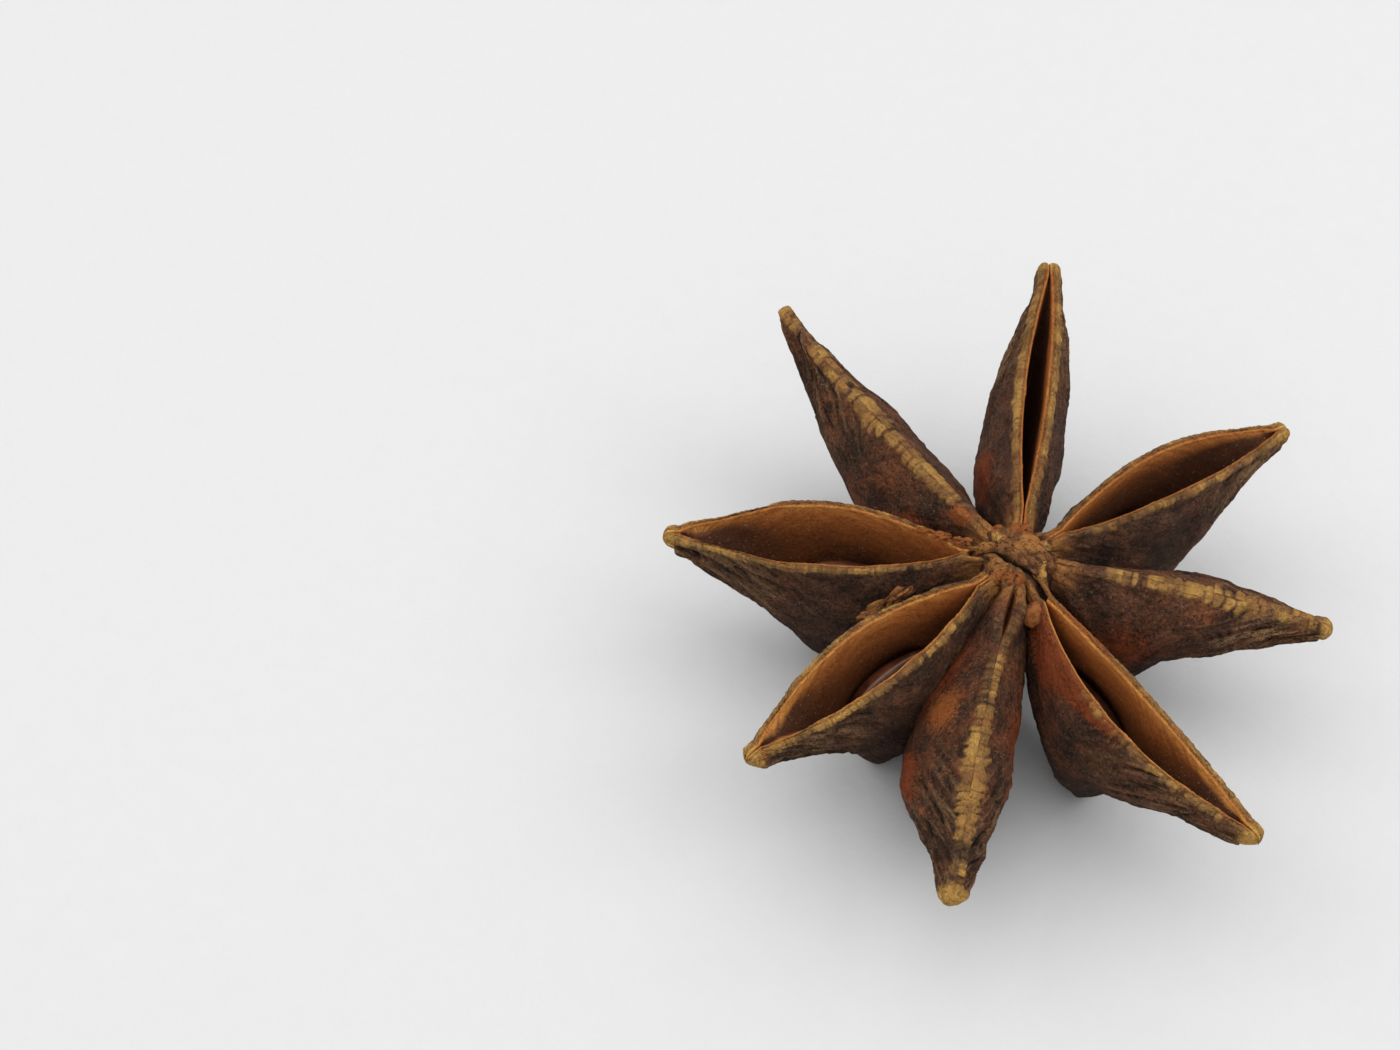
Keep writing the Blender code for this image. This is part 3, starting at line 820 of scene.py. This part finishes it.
def column_piece(material):
    """The column: a barrel with a crumbly, ridged and cracked top."""
    share = np.linspace(0.003, 0.997, COLUMN_RINGS)[:, None]
    turn = (2 * np.arange(COLUMN_SIDES) / COLUMN_SIDES)[None, :]
    even = 0.5 - 0.5 * np.cos(np.pi * share) + 0 * turn
    z = COLUMN_FOOT_Z + even * (HUB_TOP_Z - COLUMN_FOOT_Z)
    squareness = COLUMN_FOOT_SQUARENESS + (COLUMN_TOP_SQUARENESS - COLUMN_FOOT_SQUARENESS) * even
    widest = COLUMN_RADIUS + HUB_REACH * hub_arms(turn) * step_between(0.5, 0.9, even)
    radius = widest * np.sin(np.pi * even) ** squareness
    points = around(radius, np.pi * turn, z)
    x, y = points[..., 0], points[..., 1]
    top = step_between(0.80, 0.97, even)
    fibres = layered_noise(around(HUB_FIBRES, np.pi * turn, 0.7 * radius), 2, 16)
    fibres = fibres * step_between(0.3, 1.2, radius)
    crumbs = 0.6 * layered_noise(points * 2.4, 4, 12) + 0.8 * fibres
    crack = crack_mask(x + HUB_CRUMBS * crumbs, y) * top
    stands = HUB_CRUMBS * crumbs * (0.5 + top) + ridge_relief(x, y) * top - CRACK_DEPTH * crack
    fields = dict(crack=crack, top=top, crumbs=0.5 + 0.5 * crumbs, ochre=0 * x, orange=0 * x, tan=0 * x)
    for patch in HUB_PATCHES:
        shown = np.exp(-((x - patch.x) / patch.width) ** 2 - ((y - patch.y) / patch.depth) ** 2) * top
        fields[patch.kind] += patch.amount * shown
        stands += patch.rise * shown
    points += grid_normals(points) * stands[..., None]
    place_piece(grid_mesh("column", points, fields), material)


def bit_piece(bit, shift, material):
    """A small uneven lump on a follicle."""
    arm = next(arm for arm in FOLLICLES if arm.name == bit.follicle)
    polar = np.pi * np.linspace(0.02, 0.98, LUMP_RINGS)[:, None]
    turn = 2 * np.pi * np.arange(LUMP_SIDES)[None, :] / LUMP_SIDES
    ball = around(np.sin(polar), turn, -np.cos(polar))
    uneven = layered_noise(ball * 1.6, 3, shift)
    ball = ball * (1 + bit.roughness * uneven)[..., None]
    share = bit.share + bit.length * ball[..., 0] / (arm.reach - INNER_START)
    across = bit.across + bit.width * ball[..., 1]
    points = place_on_arm(arm, share, across, bit.z + bit.height * ball[..., 2])
    still = np.zeros(points.shape[:2])
    smooth = 1 - step_between(0.05, 0.3, bit.roughness)
    ochre, orange, tan = bit.colours
    fields = dict(crack=still, top=still + 1, crumbs=0.5 + 0.5 * uneven, smooth=still + smooth,
                  ochre=still + ochre, orange=still + orange, tan=still + tan)
    place_piece(grid_mesh(bit.name, points, fields), material)


def stump_piece(material):
    """What the broken stalk left under the column: a short fibrous cone, leaning a little."""
    down = np.linspace(0.0, 1.0, STUMP_RINGS)[:, None]
    turn = 2 * np.pi * np.arange(STUMP_SIDES)[None, :] / STUMP_SIDES
    side = np.minimum(1.0, down / STUMP_SIDE)
    closing = np.sqrt(1 - clamp((down - STUMP_SIDE) / (1 - STUMP_SIDE)) ** 2 * 0.998)
    radius = (STUMP_TOP_RADIUS + (STUMP_FOOT_RADIUS - STUMP_TOP_RADIUS) * side) * closing
    fibres = noise(around(2.2, turn, 0.8 * down), 60)
    broken = layered_noise(around(radius, turn, 0.3) * (2.5, 2.5, 1.0), 3, 64)
    radius = radius * (1 + STUMP_FIBRES * fibres)
    height = STUMP_TOP_Z - side * (STUMP_TOP_Z - STUMP_FOOT_Z)
    height = height + STUMP_BREAK * broken * step_between(0.7, 0.8, down)
    lean = math.tan(math.radians(STUMP_LEAN)) * (height - 0.5 * (STUMP_TOP_Z + STUMP_FOOT_Z))
    points = joined(radius * np.cos(turn), radius * np.sin(turn) - lean, height)[:, ::-1]
    end = step_between(0.72, 0.80, down) + 0 * turn
    still = np.zeros(points.shape[:2])
    fields = dict(crack=still, top=0.25 + 0.75 * end, crumbs=0.5 + 0.5 * fibres[:, ::-1],
                  ochre=0.6 * end, orange=still, tan=0.3 * end)
    place_piece(grid_mesh("stump", points, fields), material)


def seed_piece(seed, material):
    """One seed: an egg with flat sides, pointed at the end next to the column."""
    arm = next(arm for arm in FOLLICLES if arm.name == seed.follicle)
    share = np.linspace(0.004, 0.996, SEED_RINGS)[:, None]
    turn = (2 * np.arange(SEED_SIDES) / SEED_SIDES)[None, :]
    place = -np.cos(np.pi * share)
    girth = np.sin(np.pi * share) ** SEED_FULLNESS * (1 + SEED_TAPER * place)
    outward = 0.5 * seed.length * place + 0 * turn
    up = 0.5 * seed.height * girth * np.cos(np.pi * turn)
    across = 0.5 * seed.thickness * girth * np.sin(np.pi * turn)
    pitch = math.radians(seed.pitch)
    shift = outward * math.cos(pitch) - up * math.sin(pitch)
    points = place_on_arm(arm, seed.centre_at + shift / (arm.reach - INNER_START), across,
                          seed_middle_z(arm, seed) + outward * math.sin(pitch) + up * math.cos(pitch))
    # a painted highlight: a thin line along the seed's top edge
    fields = {"rim": bump(np.abs(turn - 1), 1.0, 0.02) + 0 * share}
    name = f"seed_{seed.follicle}"
    place_piece(grid_mesh(name + "_shell", points, fields), material, (name,))


class Nodes:
    """Short ways to build a material's nodes. A text names a field of the mesh, 0 where that is missing."""

    def __init__(self, name):
        self.material = bpy.data.materials.new(name)
        self.material.use_nodes = True
        self.tree = self.material.node_tree
        self.shader = self.tree.nodes["Principled BSDF"]

    def link(self, value, socket):
        """Set a socket: from another socket or a field of the mesh, or to a number, a grey or a colour."""
        if isinstance(value, str):
            value = self.make("Attribute", "Fac", {}, attribute_name=value)
        if isinstance(value, bpy.types.NodeSocket):
            self.tree.links.new(value, socket)
        elif socket.type == "RGBA":
            colour = value if isinstance(value, tuple) else (value, value, value)
            socket.default_value = (*colour, 1.0)
        else:
            socket.default_value = value

    def make(self, kind, output, inputs, **settings):
        """Add a node with its settings and inputs, and hand back one of its outputs."""
        node = self.tree.nodes.new("ShaderNode" + kind)
        for setting, value in settings.items():
            setattr(node, setting, value)
        for socket, value in inputs.items():
            self.link(value, node.inputs[socket])
        return node.outputs[output]

    def finish(self, colour, roughness, normal, shine):
        """Set what the shader needs, and hand back the material."""
        sockets = ("Base Color", "Roughness", "Normal", "Specular IOR Level")
        for socket, value in zip(sockets, (colour, roughness, normal, shine)):
            self.link(value, self.shader.inputs[socket])
        return self.material

    def cover(self, colour, *layers):
        """Lay (amount, colour) layers over a colour, one after another."""
        for amount, over in layers:
            colour = self.mix(amount, colour, over)
        return colour

    def millimetres(self):
        """Places on the object, in mm."""
        metres = self.make("TexCoord", "Object", {})
        return self.make("VectorMath", "Vector", {0: metres, "Scale": 1 / MM}, operation="SCALE")

    def strip(self, along_scale, girth_scale):
        """Places along and round a follicle, scaled."""
        inputs = {"X": self.times("along", along_scale), "Y": self.times("girth", girth_scale)}
        return self.make("CombineXYZ", "Vector", inputs)

    def math(self, operation, first, second=0.0, clamped=False):
        """One step of arithmetic on one or two numbers."""
        return self.make("Math", "Value", {0: first, 1: second}, operation=operation, use_clamp=clamped)

    def times(self, first, second, clamped=False):
        """One number times another."""
        return self.math("MULTIPLY", first, second, clamped)

    def noise(self, vector, scale, detail=3.0, roughness=0.55):
        """Noise, about 0 to 1."""
        inputs = {"Vector": vector, "Scale": scale, "Detail": detail, "Roughness": roughness}
        return self.make("TexNoise", "Fac", inputs)

    def creases(self, place, scale):
        """Thin creases that run where a noise passes its middle, 1 along each."""
        middle = self.math("SUBTRACT", self.noise(place, scale, 3.0, 0.6), 0.5)
        return self.between(self.math("ABSOLUTE", middle), CREASE_HALF_WIDTH, 0.0)

    def between(self, value, low, high):
        """Rise smoothly from 0 where the value is low to 1 where it is high; low may be the larger."""
        inputs = {"Value": value, "From Min": low, "From Max": high}
        return self.make("MapRange", "Result", inputs, interpolation_type="SMOOTHSTEP")

    def mix(self, amount, first, second):
        """Mix two colours."""
        return self.make("Mix", "Result", {"Factor": amount, "A": first, "B": second}, data_type="RGBA")

    def bump(self, height, distance, normal=None):
        """A bump of a height from 0 to 1, and how deep that is in mm."""
        inputs = {"Height": height, "Distance": distance * MM}
        if normal:
            inputs["Normal"] = normal
        return self.make("Bump", "Normal", inputs)


# Colours, and how rough (one value or a range), how shiny and how deeply grained the surfaces are
WALL_DARK = (0.050, 0.027, 0.019)
WALL_GREY = (0.165, 0.096, 0.068)
WALL_BROWN = (0.225, 0.086, 0.040)
WALL_RUSSET = (0.300, 0.074, 0.024)
WALL_WORN = (0.370, 0.210, 0.100)
WALL_PALE = (0.380, 0.215, 0.100)
RED_PATCH = (0.330, 0.075, 0.022)
ORANGE_PATCH = (0.450, 0.135, 0.034)
TAN = (0.680, 0.375, 0.098)
TAN_DULL = (0.440, 0.205, 0.065)
RIB_GAP = (0.230, 0.100, 0.038)
INNER_ORANGE = (0.500, 0.170, 0.038)
INNER_BROWN = (0.340, 0.105, 0.026)
# the dark of the inside: its speckle and the chamber round the seed, and painted shade deep in the hollows
INNER_DARK_AND_SHADE = (0.075, 0.027, 0.012)
# orange of the lips' inner edge, partly painted light
INNER_RIM_LIT = (0.600, 0.250, 0.058)
DUST = (0.400, 0.300, 0.200)
# dark brown-black: the walls' fine dark speckle, and painted shade in furrows, creases and cracks and next
# to the keel
SPECK_AND_SHADE_BLACK = (0.020, 0.012, 0.008)
OCHRE = (0.520, 0.225, 0.062)
HUB_BROWN = (0.330, 0.135, 0.048)
HUB_DARK = (0.095, 0.040, 0.020)
SEED_DARK = (0.030, 0.009, 0.005)
SEED_BROWN = (0.110, 0.034, 0.016)
# the seeds' painted highlight
SEED_HIGHLIGHT = (0.230, 0.130, 0.075)
FLOOR_WHITE = 0.65
FLOOR_LIGHTER = (0.675, 0.675, 0.68)
CREASE_HALF_WIDTH = 0.022
RIND_ROUGHNESS = (0.76, 0.55)
HUB_ROUGHNESS = (0.6, 0.85)
SEED_ROUGHNESS = (0.34, 0.48)
FLOOR_ROUGHNESS = 0.9
RIND_SHINE = 0.14
SEED_SHINE = 0.25
FLOOR_SHINE = 0.5
GRAIN_DEPTH = 0.36
STREAK_DEPTH = 0.22
FOLD_DEPTH = 0.10
HUB_GRAIN_DEPTH = 0.35
HUB_FOLD_DEPTH = 0.18
SMOOTH_GRAIN_DEPTH = 0.05


def ragged(n, name, fine):
    """A field of the mesh, given ragged edges by a noise."""
    return n.between(n.math("ADD", name, n.times(n.math("SUBTRACT", fine, 0.5), 1.2)), 0.30, 0.62)


def wall_colour(n, place, fine, streaks):
    """The dark outside: mottled, worn and wrinkled towards the beak, with painted shade in its furrows and
    next to the keel, where it is darkest.
    """
    mottle = n.noise(place, 0.7, 6.0, 0.7)
    russet = n.times(n.math("SUBTRACT", n.noise(place, 0.45, 3.0, 0.5), 0.5), 2.0)
    lit = n.mix(n.math("ADD", "redness", russet, clamped=True), WALL_GREY, WALL_RUSSET)
    colour = n.mix(n.between(mottle, 0.34, 0.70), WALL_DARK, n.mix(0.5, lit, WALL_BROWN))
    worn = n.times(n.between(streaks, 0.42, 0.68), n.math("ADD", "beak", 0.25))
    # painted shade in the wrinkles' furrows, stronger towards the beak
    crease = n.times(n.between("furrow", 0.7, 0.1), n.math("ADD", "beak", 0.3))
    # painted shade, darker towards the keel
    low = n.between(n.math("ADD", "level", n.times(mottle, 0.3)), 0.65, 0.15)
    return n.cover(
        colour,
        (n.times(worn, 0.7, clamped=True), WALL_WORN),
        (n.times(n.between(fine, 0.54, 0.68), 0.35), WALL_WORN),
        (n.times(n.between(fine, 0.48, 0.34), 0.7), SPECK_AND_SHADE_BLACK),
        (n.times(crease, 0.8, clamped=True), SPECK_AND_SHADE_BLACK),
        (n.times(low, 0.7), SPECK_AND_SHADE_BLACK))


def lip_colour(n, fine):
    """The tan band along the suture: ribs with darker gaps, each block of its own tone."""
    tone = n.mix(n.between("tone", 0.30, 0.70), TAN_DULL, TAN)
    return n.cover(
        tone,
        (n.times(n.between(fine, 0.46, 0.34), 0.4), RIB_GAP),
        (n.times(n.between("teeth", 0.45, 0.15), 0.75), RIB_GAP))


def hollow_colour(n, fine, streaks):
    """The smooth inside: an orange rim partly brightened by painted light, a brown wall, a dark speckled
    chamber round the seed, and painted shade deep down and in narrow mouths.
    """
    inside = n.mix(n.between(streaks, 0.20, 0.80), INNER_BROWN, INNER_ORANGE)
    lining = n.mix(n.between(fine, 0.35, 0.65), INNER_DARK_AND_SHADE, INNER_BROWN)
    return n.cover(
        inside,
        (n.times(n.between(fine, 0.46, 0.32), 0.5), INNER_DARK_AND_SHADE),
        ("chamber", lining),
        # painted shade: darker with depth, and where the mouth is narrow or the follicle's shade is set
        (n.times(n.between("depth", 0.2, 2.4), 0.6), INNER_DARK_AND_SHADE),
        ("gloom", INNER_DARK_AND_SHADE),
        # painted light along the lips' inner edge, over their own orange
        (n.times("rim", n.between(streaks, 0.25, 0.60)), INNER_RIM_LIT))


def rind_material():
    """The follicles: wrinkled dark walls, ribbed tan lips, smooth orange-brown hollows."""
    n = Nodes("rind")
    place = n.millimetres()
    fine = n.noise(place, 7.0, 4.0, 0.7)
    streaks = n.noise(n.strip(0.5, 2.6), 1.0, 4.0, 0.6)
    creases = n.creases(place, 2.3)
    specks = n.between(n.noise(place, 9.0, 2.0, 0.5), 0.665, 0.72)
    pale = n.times(ragged(n, "tan", streaks), n.between(fine, 0.35, 0.55))
    lip = n.times("band", n.between(fine, 0.16, 0.40), clamped=True)
    tip = n.times("tip", n.between(fine, 0.25, 0.50), clamped=True)

    colour = n.cover(
        wall_colour(n, place, fine, streaks),
        (n.times("base", n.between(streaks, 0.25, 0.55)), OCHRE),
        (ragged(n, "red", fine), RED_PATCH),
        # painted shade in the thin creases that the bump sinks
        (n.times(creases, 0.45), SPECK_AND_SHADE_BLACK),
        (lip, lip_colour(n, fine)),
        (ragged(n, "orange", fine), ORANGE_PATCH),
        (pale, WALL_PALE),
        (n.times(ragged(n, "dark", fine), 0.75), WALL_DARK),
        ("hollow", hollow_colour(n, fine, streaks)),
        (tip, TAN),
        # painted shade in the crack across the top
        (n.between("crack", 0.25, 0.70), SPECK_AND_SHADE_BLACK),
        (n.times(specks, 0.6), DUST))
    rough = n.mix("hollow", *RIND_ROUGHNESS)
    outside = n.math("SUBTRACT", 1.0, n.times("hollow", 0.75))
    folds = n.times(creases, n.math("SUBTRACT", 0.0, outside))
    grain = n.bump(n.times(fine, outside), GRAIN_DEPTH)
    grain = n.bump(n.times(streaks, outside), STREAK_DEPTH, grain)
    return n.finish(colour, rough, n.bump(folds, FOLD_DEPTH, grain), RIND_SHINE)


def column_material():
    """The column: fibrous ochre and brown crumbs, with painted shade in its creases and crack and below its
    top.
    """
    n = Nodes("column")
    place = n.millimetres()
    mottle = n.noise(place, 1.6, 4.0, 0.6)
    fine = n.noise(place, 6.0, 5.0, 0.7)
    crumbly = n.math("SUBTRACT", 1.0, "smooth")
    creases = n.times(n.creases(place, 2.0), crumbly)
    pits = n.times(n.between(fine, 0.50, 0.34), crumbly)
    colour = n.cover(
        n.mix(n.between("crumbs", 0.25, 0.65), HUB_DARK, HUB_BROWN),
        (n.times(n.between(mottle, 0.45, 0.65), 0.8), OCHRE),
        (ragged(n, "ochre", fine), OCHRE),
        (ragged(n, "orange", fine), ORANGE_PATCH),
        (ragged(n, "tan", fine), TAN),
        (n.times(pits, 0.7), HUB_DARK),
        # painted shade in the thin creases and in the crack
        (n.times(creases, 0.75), SPECK_AND_SHADE_BLACK),
        (n.between("crack", 0.25, 0.70), SPECK_AND_SHADE_BLACK),
        # painted shade: darker below the column's top, where it sinks between the follicles; on the stump
        # the same field darkens the sides below the broken end
        (n.between("top", 0.8, 0.1), WALL_DARK))
    grain = n.bump(fine, HUB_GRAIN_DEPTH)
    grain = n.bump(n.times(creases, -1.0), HUB_FOLD_DEPTH, grain)
    return n.finish(colour, n.mix(fine, *HUB_ROUGHNESS), grain, RIND_SHINE)


def seed_material():
    """The seeds: a smooth, glossy, dark red-brown shell with a painted highlight along its top edge."""
    n = Nodes("seed")
    place = n.millimetres()
    mottle = n.noise(place, 0.8, 3.0)
    colour = n.mix(n.between(mottle, 0.35, 0.7), SEED_DARK, SEED_BROWN)
    # painted highlight along the top edge
    colour = n.mix("rim", colour, SEED_HIGHLIGHT)
    rough = n.mix(mottle, *SEED_ROUGHNESS)
    grain = n.bump(n.noise(place, 3.0, 2.0), SMOOTH_GRAIN_DEPTH)
    return n.finish(colour, rough, grain, SEED_SHINE)


def floor_material():
    """Matt white card with a faint grain."""
    n = Nodes("floor")
    grain = n.noise(n.millimetres(), 0.8, 5.0, 0.6)
    colour = n.mix(grain, FLOOR_WHITE, FLOOR_LIGHTER)
    return n.finish(colour, FLOOR_ROUGHNESS, n.bump(grain, SMOOTH_GRAIN_DEPTH), FLOOR_SHINE)


def face(thing, place, direction, roll=0.0):
    """Stand a camera or a light at a place, and make it look in a direction."""
    thing.location = place
    thing.rotation_mode = "QUATERNION"
    turn = Quaternion((0.0, 0.0, 1.0), math.radians(roll))
    thing.rotation_quaternion = direction.to_track_quat("-Z", "Y") @ turn


def add_camera():
    """The camera looks past the pod, which stands to the right of the view's middle."""
    axis = column_axis()
    elevation = math.radians(CAMERA_ELEVATION)
    back = Vector((0.0, -math.cos(elevation), math.sin(elevation)))
    stand = axis + (Vector((0.0, 0.0, CAMERA_AIM[2])) + CAMERA_DISTANCE * back) * MM
    aim = axis + Vector(CAMERA_AIM) * MM
    lens = bpy.data.cameras.new("camera")
    lens.lens = CAMERA_LENS
    lens.sensor_width = CAMERA_SENSOR
    lens.clip_start = NEAREST_SEEN * MM
    camera = add_object("camera", lens)
    face(camera, stand, aim - stand, CAMERA_ROLL)
    bpy.context.scene.camera = camera


def add_light():
    """A bright room, with a large soft light on each side and one overhead, which all face the pod."""
    world = bpy.data.worlds.new("room")
    world.use_nodes = True
    bpy.context.scene.world = world
    background = world.node_tree.nodes["Background"]
    background.inputs["Color"].default_value = (1.0, 1.0, 1.0, 1.0)
    background.inputs["Strength"].default_value = ROOM_BRIGHTNESS
    for name, place, power in LIGHTS:
        data = bpy.data.lights.new(name, "AREA")
        data.shape = "SQUARE"
        data.size = LIGHT_SIZE * MM
        data.energy = power
        stand = Vector(place) * MM
        face(add_object(name, data), stand, -stand)


def add_floor():
    """The pale floor that the pod stands on."""
    bpy.ops.mesh.primitive_plane_add(size=FLOOR_SIZE, location=(0.0, 0.0, 0.0))
    floor = bpy.context.object
    floor.name = "floor"
    floor.data.materials.append(floor_material())


def main():
    """Build everything round the frame."""
    bpy.context.scene.view_settings.view_transform = "Standard"
    add_camera()
    add_light()
    add_floor()
    rind = rind_material()
    for number, arm in enumerate(FOLLICLES):
        follicle_piece(arm, number, rind)
    hub = column_material()
    column_piece(hub)
    stump_piece(hub)
    for number, bit in enumerate(BITS):
        bit_piece(bit, 40 + 3 * number, hub)
    seed_brown = seed_material()
    for seed in SEEDS:
        seed_piece(seed, seed_brown)
    bpy.context.view_layer.update()


main()
